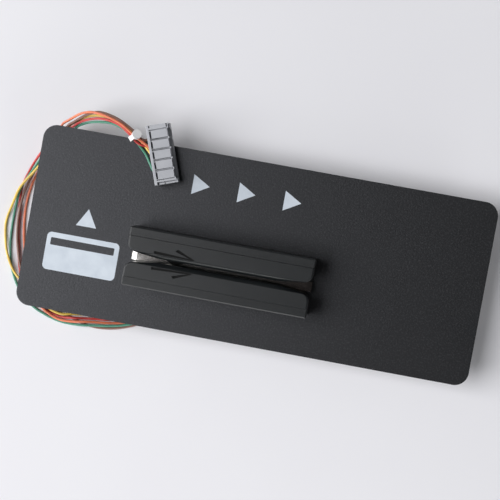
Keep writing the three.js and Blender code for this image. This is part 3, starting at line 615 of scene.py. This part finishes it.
def flat_marks(name, outlines, thickness):
    """A thin printed shape on the panel's front; inner outlines are left open."""
    data = bpy.data.curves.new(name, "CURVE")
    data.dimensions = "2D"
    data.fill_mode = "BOTH"
    data.extrude = thickness / 2
    for outline in outlines:
        spline = data.splines.new("POLY")
        spline.points.add(len(outline) - 1)
        for point, (x, y) in zip(spline.points, outline):
            point.co = (x * MM, y * MM, 0, 1)
        spline.use_cyclic_u = True
    holder = bpy.data.objects.new(name, data)
    SCENE.collection.objects.link(holder)
    graph = bpy.context.evaluated_depsgraph_get()
    mesh = bpy.data.meshes.new_from_object(holder.evaluated_get(graph))
    mesh.name = name
    bpy.data.objects.remove(holder)
    bpy.data.curves.remove(data)
    mesh.transform(Matrix.Translation((0, 0, PANEL_TOP + thickness / 2)))
    return add_object(name, mesh, "pale_ink")


def rounded_outline(low, high, radius, steps=8):
    corners = [
        (high[0] - radius, high[1] - radius, 0),
        (low[0] + radius, high[1] - radius, 90),
        (low[0] + radius, low[1] + radius, 180),
        (high[0] - radius, low[1] + radius, 270),
    ]
    outline = []
    for x, y, start in corners:
        for step in range(steps + 1):
            angle = math.radians(start + 90 * step / steps)
            outline.append((x + radius * math.cos(angle), y + radius * math.sin(angle)))
    return outline


INK_THICKNESS = 0.04 * MM
# Each arrow's middle and radius in millimetres, and its turn in degrees.
ARROWS = [
    (-33.72, 28.9, 5.77, 0),
    (-10.57, 28.9, 5.77, 0),
    (12.65, 28.9, 5.77, 0),
    (-85.8, 1.25, 5.97, 90),
]
# The card symbol and the stripe left open in it: low corner, high corner and corner radius.
CARD = ((-104.35, -26.2), (-67.25, -7.2), 2.3)
STRIPE = ((-102.25, -13.6), (-69.6, -9.85), 0.5)
STRIPE_CORNER_STEPS = 3


def tree_input(tree, name, kind, value):
    socket = tree.interface.new_socket(name, in_out="INPUT", socket_type=kind)
    socket.default_value = value
    return socket


def make_arrows():
    """Printed triangles, instanced on points that carry their size and turn."""
    tree = bpy.data.node_groups.new("Printed arrows", "GeometryNodeTree")
    tree.interface.new_socket("Geometry", in_out="INPUT", socket_type="NodeSocketGeometry")
    thickness = tree_input(tree, "Thickness", "NodeSocketFloat", 0.0)
    tree.interface.new_socket("Ink", in_out="INPUT", socket_type="NodeSocketMaterial")
    tree.interface.new_socket("Geometry", in_out="OUTPUT", socket_type="NodeSocketGeometry")
    add, link = tree.nodes.new, tree.links.new
    given, made = add("NodeGroupInput"), add("NodeGroupOutput")
    triangle = add("GeometryNodeMeshCircle")
    triangle.fill_type = "NGON"
    triangle.inputs["Vertices"].default_value = 3
    triangle.inputs["Radius"].default_value = 1.0
    size, turn = add("GeometryNodeInputNamedAttribute"), add("GeometryNodeInputNamedAttribute")
    size.data_type = turn.data_type = "FLOAT"
    size.inputs["Name"].default_value = "size"
    turn.inputs["Name"].default_value = "turn"
    angles = add("ShaderNodeCombineXYZ")
    scale = add("ShaderNodeCombineXYZ")
    scale.inputs["Z"].default_value = 1.0
    place = add("GeometryNodeInstanceOnPoints")
    real = add("GeometryNodeRealizeInstances")
    raise_up = add("GeometryNodeExtrudeMesh")
    back = add("GeometryNodeFlipFaces")
    both = add("GeometryNodeJoinGeometry")
    weld = add("GeometryNodeMergeByDistance")
    weld.inputs["Distance"].default_value = 1e-6
    ink = add("GeometryNodeSetMaterial")
    link(turn.outputs["Attribute"], angles.inputs["Z"])
    link(size.outputs["Attribute"], scale.inputs["X"])
    link(size.outputs["Attribute"], scale.inputs["Y"])
    link(given.outputs["Geometry"], place.inputs["Points"])
    link(triangle.outputs["Mesh"], place.inputs["Instance"])
    link(angles.outputs["Vector"], place.inputs["Rotation"])
    link(scale.outputs["Vector"], place.inputs["Scale"])
    link(place.outputs["Instances"], real.inputs["Geometry"])
    link(real.outputs["Geometry"], raise_up.inputs["Mesh"])
    raise_up.inputs["Individual"].default_value = False
    link(given.outputs["Thickness"], raise_up.inputs["Offset Scale"])
    link(real.outputs["Geometry"], back.inputs["Mesh"])
    link(raise_up.outputs["Mesh"], both.inputs["Geometry"])
    link(back.outputs["Mesh"], both.inputs["Geometry"])
    link(both.outputs["Geometry"], weld.inputs["Geometry"])
    link(weld.outputs["Geometry"], ink.inputs["Geometry"])
    link(given.outputs["Ink"], ink.inputs["Material"])
    link(ink.outputs["Geometry"], made.inputs["Geometry"])
    mesh = bpy.data.meshes.new("swipe_arrows")
    mesh.from_pydata([(x * MM, y * MM, PANEL_TOP) for x, y, _, _ in ARROWS], [], [])
    sizes = mesh.attributes.new("size", "FLOAT", "POINT")
    turns = mesh.attributes.new("turn", "FLOAT", "POINT")
    for index, (_, _, radius, degrees) in enumerate(ARROWS):
        sizes.data[index].value = radius * MM
        turns.data[index].value = math.radians(degrees)
    piece = add_object("swipe_arrows", mesh, "pale_ink")
    modifier = piece.modifiers.new("arrows", "NODES")
    modifier.node_group = tree
    modifier[thickness.identifier] = INK_THICKNESS
    ink_socket = next(s for s in tree.interface.items_tree if s.name == "Ink")
    modifier[ink_socket.identifier] = MATERIALS["pale_ink"]
    settled(piece)


def make_panel():
    softened("front_panel", "powder_coat", 0.2 * MM)
    stripe = rounded_outline(*STRIPE, STRIPE_CORNER_STEPS)
    flat_marks("card_symbol", [rounded_outline(*CARD), stripe[::-1]], INK_THICKNESS)
    make_arrows()
    for index in (1, 2):
        softened(f"panel_screw_{index}", "zinc_plate", 0.12 * MM)
        softened(f"panel_washer_{index}", "zinc_plate", 0.08 * MM)
    softened("cable_grommet", "rubber", 0.2 * MM)


# ---- Studs --------------------------------------------------------------------------------

STUD = {
    "Radius": 2.0 * MM,
    "Length": 19.0 * MM,
    "Pitch": 0.7 * MM,
    "Depth": 0.3 * MM,
    "Flange radius": 3.0 * MM,
    "Flange height": 0.7 * MM,
}


def make_studs():
    """Threaded weld studs behind the panel, instanced on their tips."""
    tree = bpy.data.node_groups.new("Threaded studs", "GeometryNodeTree")
    tree.interface.new_socket("Geometry", in_out="INPUT", socket_type="NodeSocketGeometry")
    sockets = {name: tree_input(tree, name, "NodeSocketFloat", 0.0) for name in STUD}
    tree.interface.new_socket("Geometry", in_out="OUTPUT", socket_type="NodeSocketGeometry")
    add, link = tree.nodes.new, tree.links.new
    given, made = add("NodeGroupInput"), add("NodeGroupOutput")

    def number(operation, first, second):
        node = add("ShaderNodeMath")
        node.operation = operation
        for socket, value in zip(node.inputs, (first, second)):
            if isinstance(value, bpy.types.NodeSocket):
                link(value, socket)
            else:
                socket.default_value = value
        return node.outputs[0]

    def rod(radius, length, low, vertices=32):
        """A cylinder that starts at height low."""
        cylinder = add("GeometryNodeMeshCylinder")
        cylinder.inputs["Vertices"].default_value = vertices
        link(radius, cylinder.inputs["Radius"])
        link(length, cylinder.inputs["Depth"])
        lift = add("ShaderNodeCombineXYZ")
        link(number("ADD", low, number("MULTIPLY", length, 0.5)), lift.inputs["Z"])
        moved = add("GeometryNodeTransform")
        link(cylinder.outputs["Mesh"], moved.inputs["Geometry"])
        link(lift.outputs[0], moved.inputs["Translation"])
        return moved.outputs["Geometry"]

    radius, length = given.outputs["Radius"], given.outputs["Length"]
    depth, pitch = given.outputs["Depth"], given.outputs["Pitch"]
    root = number("SUBTRACT", radius, depth)
    core = rod(root, length, 0.0)
    flange = rod(given.outputs["Flange radius"], given.outputs["Flange height"], length)
    spiral = add("GeometryNodeCurveSpiral")
    spiral.inputs["Resolution"].default_value = 24
    run = number("SUBTRACT", length, number("MULTIPLY", pitch, 3.0))
    link(number("DIVIDE", run, pitch), spiral.inputs["Rotations"])
    link(root, spiral.inputs["Start Radius"])
    link(root, spiral.inputs["End Radius"])
    link(run, spiral.inputs["Height"])
    profile = add("GeometryNodeCurvePrimitiveCircle")
    profile.inputs["Resolution"].default_value = 4
    link(depth, profile.inputs["Radius"])
    ridge = add("GeometryNodeCurveToMesh")
    ridge.inputs["Fill Caps"].default_value = True
    link(spiral.outputs["Curve"], ridge.inputs["Curve"])
    link(profile.outputs["Curve"], ridge.inputs["Profile Curve"])
    lift = add("ShaderNodeCombineXYZ")
    link(pitch, lift.inputs["Z"])
    thread = add("GeometryNodeTransform")
    link(ridge.outputs["Mesh"], thread.inputs["Geometry"])
    link(lift.outputs[0], thread.inputs["Translation"])
    whole = add("GeometryNodeJoinGeometry")
    for part in (core, flange, thread.outputs["Geometry"]):
        link(part, whole.inputs["Geometry"])
    place = add("GeometryNodeInstanceOnPoints")
    real = add("GeometryNodeRealizeInstances")
    paint = add("GeometryNodeSetMaterial")
    paint.inputs["Material"].default_value = MATERIALS["zinc_plate"]
    link(given.outputs["Geometry"], place.inputs["Points"])
    link(whole.outputs["Geometry"], place.inputs["Instance"])
    link(place.outputs["Instances"], real.inputs["Geometry"])
    link(real.outputs["Geometry"], paint.inputs["Geometry"])
    link(paint.outputs["Geometry"], made.inputs["Geometry"])
    names = [f"panel_stud_{index}" for index in (1, 2, 3, 4)]
    tips = []
    for name in names:
        low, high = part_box(name)
        tips.append(((low.x + high.x) / 2, (low.y + high.y) / 2, low.z))
    mesh = bpy.data.meshes.new("threaded_studs")
    mesh.from_pydata(tips, [], [])
    piece = add_object("threaded_studs", mesh, "zinc_plate")
    modifier = piece.modifiers.new("studs", "NODES")
    modifier.node_group = tree
    for name, value in STUD.items():
        modifier[sockets[name].identifier] = value
    settled(piece)
    smooth_by_angle(piece)
    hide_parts(*names)


# ---- Reader -------------------------------------------------------------------------------

# Each rail carries half an arrow: a shaft along the slot and a barb that meets its tip.
ARROW_SHAFT = [(-32.2, 3.25), (-12.6, 3.05), (-12.2, 3.3), (-14.5, 3.75), (-32.2, 4.6)]
ARROW_BARB = [(-21.9, 6.0), (-12.6, 3.1), (-12.2, 3.5), (-20.9, 7.2)]


def arrow_cutters(side):
    cutters = []
    for outline in (ARROW_SHAFT, ARROW_BARB):
        spots = [(READER.x + x * MM, READER.y + side * y * MM) for x, y in outline]
        cutters.append(new_prism(spots, READER_TOP - ARROW_DEPTH, READER_TOP + MM))
    return [joined(cutters)]


HEAD_MIDDLE = READER.x - 21.8 * MM
SPRING_SCREW_REACH = 11.0 * MM
SPRING_END = 13.5 * MM
CRADLE_REACH = 2.0 * MM


def sliced(node, places, span=None):
    """A copy of a CAD node's mesh with extra loops across X, kept only within a span of X."""
    form = bmesh.new()
    form.from_mesh(NODES[node].data)
    bmesh.ops.remove_doubles(form, verts=form.verts, dist=WELD)

    def slice_at(x, side, clear):
        geometry = form.verts[:] + form.edges[:] + form.faces[:]
        cut = bmesh.ops.bisect_plane(
            form, geom=geometry, plane_co=(x, 0, 0), plane_no=(side, 0, 0), clear_inner=clear
        )
        return [part for part in cut["geom_cut"] if isinstance(part, bmesh.types.BMEdge)]

    for x in places:
        slice_at(x, 1, False)
    if span:
        for x, side in zip(span, (1, -1)):
            bmesh.ops.holes_fill(form, edges=slice_at(x, side, True))
    mesh = bpy.data.meshes.new(node)
    form.to_mesh(mesh)
    form.free()
    return mesh


def flexing(name, node, slot_name, mesh, start, end):
    """A thin piece, smoothed, standing for its CAD node and left in its CAD shape; start and end
    are not used.
    """
    mesh.name = name
    piece = bpy.data.objects.new(name, mesh)
    SCENE.collection.objects.link(piece)
    mesh.materials.append(MATERIALS[slot_name])
    smooth_by_angle(piece)
    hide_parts(node)
    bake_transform(piece)


def make_leaf_spring():
    """Two halves, each held by its screw and cut at the middle, with extra loops from the screw
    to the cradle; both keep their CAD shape.
    """
    for label, side in (("left", -1), ("right", 1)):
        screw = HEAD_MIDDLE + side * SPRING_SCREW_REACH
        middle = HEAD_MIDDLE + side * CRADLE_REACH
        places = [middle + (screw - middle) * step / 8 for step in range(9)]
        span = sorted((HEAD_MIDDLE, HEAD_MIDDLE + side * SPRING_END))
        mesh = sliced("head_leaf_spring", places, span)
        spots = [(x, READER.y, READER.z) for x in (screw, middle)]
        flexing("leaf_spring_" + label, "head_leaf_spring", "spring_steel", mesh, *spots)


def make_ribbon():
    """The flat cable from the head's back, with extra loops up to its first fold; it keeps its
    CAD shape.
    """
    fixed = (HEAD_MIDDLE + 6.6 * MM, READER.y + 9.1 * MM, READER.z)
    moving = (HEAD_MIDDLE + 4.4 * MM, READER.y + 6.0 * MM, READER.z)
    places = [moving[0] + (fixed[0] - moving[0]) * step / 6 for step in range(1, 6)]
    mesh = sliced("head_flex_cable", places)
    flexing("head_ribbon", "head_flex_cable", "polyimide", mesh, fixed, moving)


def make_reader():
    for node, side in (("rail_head_side", 1), ("rail_guide_side", -1)):
        softened(
            node,
            "black_plastic",
            0.2 * MM,
            cutters=arrow_cutters(side),
            chosen=on_skin,
            clamp=False,
            segments=2,
        )
    for node in ("cover_head_side", "cover_guide_side"):
        softened(
            node,
            "black_plastic",
            0.6 * MM,
            chosen=off_seam,
            reshape=closed_seam,
            clamp=False,
            segments=1,
        )
    softened("reader_base", "black_plastic", 0.15 * MM, 2.0 * MM)
    softened("wear_strip", "strip_steel", 0.08 * MM)
    softened("magnetic_head", "head_can", 0.15 * MM, 1.0 * MM, body=HEAD_BODY)
    softened("head_core", "head_core", 0.05 * MM, body=HEAD_BODY)
    softened("head_cradle", "spring_steel", 0.06 * MM, body=CARRIER_BODY)
    make_leaf_spring()
    make_ribbon()
    for index in (1, 2):
        softened(f"leaf_spring_screw_{index}", "zinc_plate", 0.1 * MM)
        softened(f"threaded_insert_{index}", "brass", 0.08 * MM)
    softened("decoder_board", "circuit_board", 0.08 * MM)
    softened("decoder_chip", "chip_resin", 0.12 * MM)
    softened("filter_capacitor", "capacitor_resin", 0.2 * MM)
    softened("wire_header", "header_plastic", 0.15 * MM)


COVER_INNER = 10.4 * MM
SEAM = 10.16 * MM  # the rail's outer face is at 10.1 mm
SEAM_LIMIT = 10.6 * MM
BASE_TOP = 2.2 * MM
LIP_FROM = 22.0 * MM
# Beyond one of these, from the middle of the reader's foot, an edge is on the outside.
SKIN_END, SKIN_SIDE, SKIN_TOP = 45 * MM, 14 * MM, 23 * MM


def closed_seam(spot):
    """Brings a cover's inner face up to its rail, leaving a hairline."""
    across = spot.y - READER.y
    if abs(abs(across) - COVER_INNER) < 0.02 * MM:
        return Vector((spot.x, READER.y + math.copysign(SEAM, across), spot.z))
    return spot


def on_skin(edge):
    """True for edges on the reader's outside or round its slot, above the floor of the slot."""
    spots = [vertex.co - READER for vertex in edge.verts]
    if any(spot.z < BASE_TOP for spot in spots):
        return False
    along, across = ARROW_SPAN, ARROW_BAND
    if all(along[0] < s.x < along[1] and across[0] < abs(s.y) < across[1] for s in spots):
        return False
    outside = all(
        abs(s.x) > SKIN_END or abs(s.y) > SKIN_SIDE or s.z > SKIN_TOP for s in spots
    )
    lips = all(abs(s.y) < ARROW_BAND[1] and s.z > LIP_FROM for s in spots)
    return outside or lips


def off_seam(edge):
    """True for a cover's outside edges, but not for the one that meets its rail."""
    across = [abs(vertex.co.y - READER.y) for vertex in edge.verts]
    return on_skin(edge) and max(across) >= SEAM_LIMIT


# ---- Harness ------------------------------------------------------------------------------

TIE_ROUNDING = 1.1 * MM
TIE_SHORTEST_EDGE = 2.5 * MM
WAY_PITCH = 5.08
PLUG_TOP = 9.6
PLUG_LEFT, PLUG_RIGHT = -4.5, 7.0  # cuts between the rail and past the right side
PAD_RIGHT = 4.6
LEDGE = 4.6  # height of the step along the right side
PLUG_ABOVE = PLUG_TOP + 1  # cuts run out past the top


def plug_cuts():
    """The boxes cut from the housing, each as its x, y and z ranges in millimetres."""
    for way in range(5):
        y = (2 - way) * WAY_PITCH
        yield (PLUG_LEFT, PAD_RIGHT), (y - 2.48, y - 2.03), (PLUG_TOP - 1.6, PLUG_ABOVE)
        yield (4.5, PLUG_RIGHT), (y - 2.0, y + 2.1), (LEDGE, PLUG_ABOVE)
    yield (5.05, PLUG_RIGHT), (-13.2, 12.6), (LEDGE, PLUG_ABOVE)
    yield (PLUG_LEFT, -3.8), (13.5, 16), (PLUG_TOP - 2.5, PLUG_ABOVE)
    yield (4.3, 4.9), (12.9, 16), (PLUG_TOP - 2.5, PLUG_ABOVE)
    yield (5.25, PLUG_RIGHT), (12.6, 14.2), (PLUG_TOP - 2.5, PLUG_ABOVE)
    yield (PLUG_LEFT, PLUG_RIGHT), (-14.05, -13.5), (PLUG_TOP - 2.2, PLUG_ABOVE)
    yield (-0.9, -0.3), (-16, -13.4), (PLUG_TOP - 2.0, PLUG_ABOVE)
    yield (PLUG_LEFT, -3.5), (-16, -13.4), (PLUG_TOP - 3.0, PLUG_ABOVE)


def make_plug():
    """The five-way housing: raised pads, a window beside each and a step along one side."""
    matrix = Matrix.Translation(PLUG) @ Matrix.Rotation(PLUG_TURN, 4, "Z")
    boxes = []
    for ranges in plug_cuts():
        low, high = zip(*ranges)
        boxes.append(new_box([c * MM for c in low], [c * MM for c in high]))
    cutters = joined(boxes, matrix)
    return softened("connector_housing", "grey_plastic", 0.25 * MM, 9 * MM, cutters=[cutters])


make_panel()
make_studs()
make_reader()
housing = make_plug()
tie = softened("cable_tie", "nylon", TIE_ROUNDING, TIE_SHORTEST_EDGE)

# CAD nodes whose shape needs no change take their finish from their slot.
SLOT_OF = {part["node"]: part["material_slot"] for part in frame["record"]["subparts"]}
for name, node in NODES.items():
    if not node.hide_render:
        node.data.materials.clear()
        node.data.materials.append(MATERIALS[SLOT_OF[name]])


# ---- Stage --------------------------------------------------------------------------------


FLOOR_REACH = 5.0  # metres each way from the middle
SURROUND = (0.95, 0.96, 1.0, 1.0)
SURROUND_STRENGTH = 0.09
# Each light: where it is, where it points, its width and height in metres, its watts and tint.
LIGHTS = {
    "softbox": ((-1.35, -0.2, 1.9), (0, 0, 0), (1.6, 2.0), 59.0, (0.98, 0.98, 1.0)),
    "fill": ((1.5, -1.5, 0.9), (0, 0, 0), (1.2, 1.2), 8.0, (1, 1, 1)),
    "edge_left": ((-2.6, 0, 0.34), (0, 0, 0.04), (3.6, 0.6), 60.0, (1, 1, 1)),
    "edge_front": ((0, -2.6, 0.34), (0, 0, 0.04), (3.6, 0.6), 48.0, (1, 1, 1)),
}


def make_floor():
    mesh = bpy.data.meshes.new("floor")
    reach = FLOOR_REACH
    corners = [(-reach, -reach, 0), (reach, -reach, 0), (reach, reach, 0), (-reach, reach, 0)]
    mesh.from_pydata(corners, [], [(0, 1, 2, 3)])
    floor = bpy.data.objects.new("floor", mesh)
    SCENE.collection.objects.link(floor)
    card = Finish("pale_floor", roughness=0.9)
    cloud = card.noise(60 * MM, 2.0)
    card.set("Base Color", card.colours(cloud, (0.78, 0.775, 0.80), (0.80, 0.80, 0.82)))
    mesh.materials.append(card.material)


def add_light(name, spot, aim, size, watts, colour):
    data = bpy.data.lights.new(name, "AREA")
    data.shape = "RECTANGLE"
    data.size, data.size_y = size
    data.energy = watts
    data.color = colour
    light = bpy.data.objects.new(name, data)
    light.location = spot
    light.rotation_mode = "QUATERNION"
    light.rotation_quaternion = (Vector(aim) - Vector(spot)).to_track_quat("-Z", "Y")
    SCENE.collection.objects.link(light)


def make_lights():
    world = bpy.data.worlds.new("studio")
    world.use_nodes = True
    background = world.node_tree.nodes["Background"]
    background.inputs["Color"].default_value = SURROUND
    background.inputs["Strength"].default_value = SURROUND_STRENGTH
    SCENE.world = world
    SCENE.view_settings.view_transform = "Standard"
    for name, settings in LIGHTS.items():
        add_light(name, *settings)


make_floor()
make_lights()
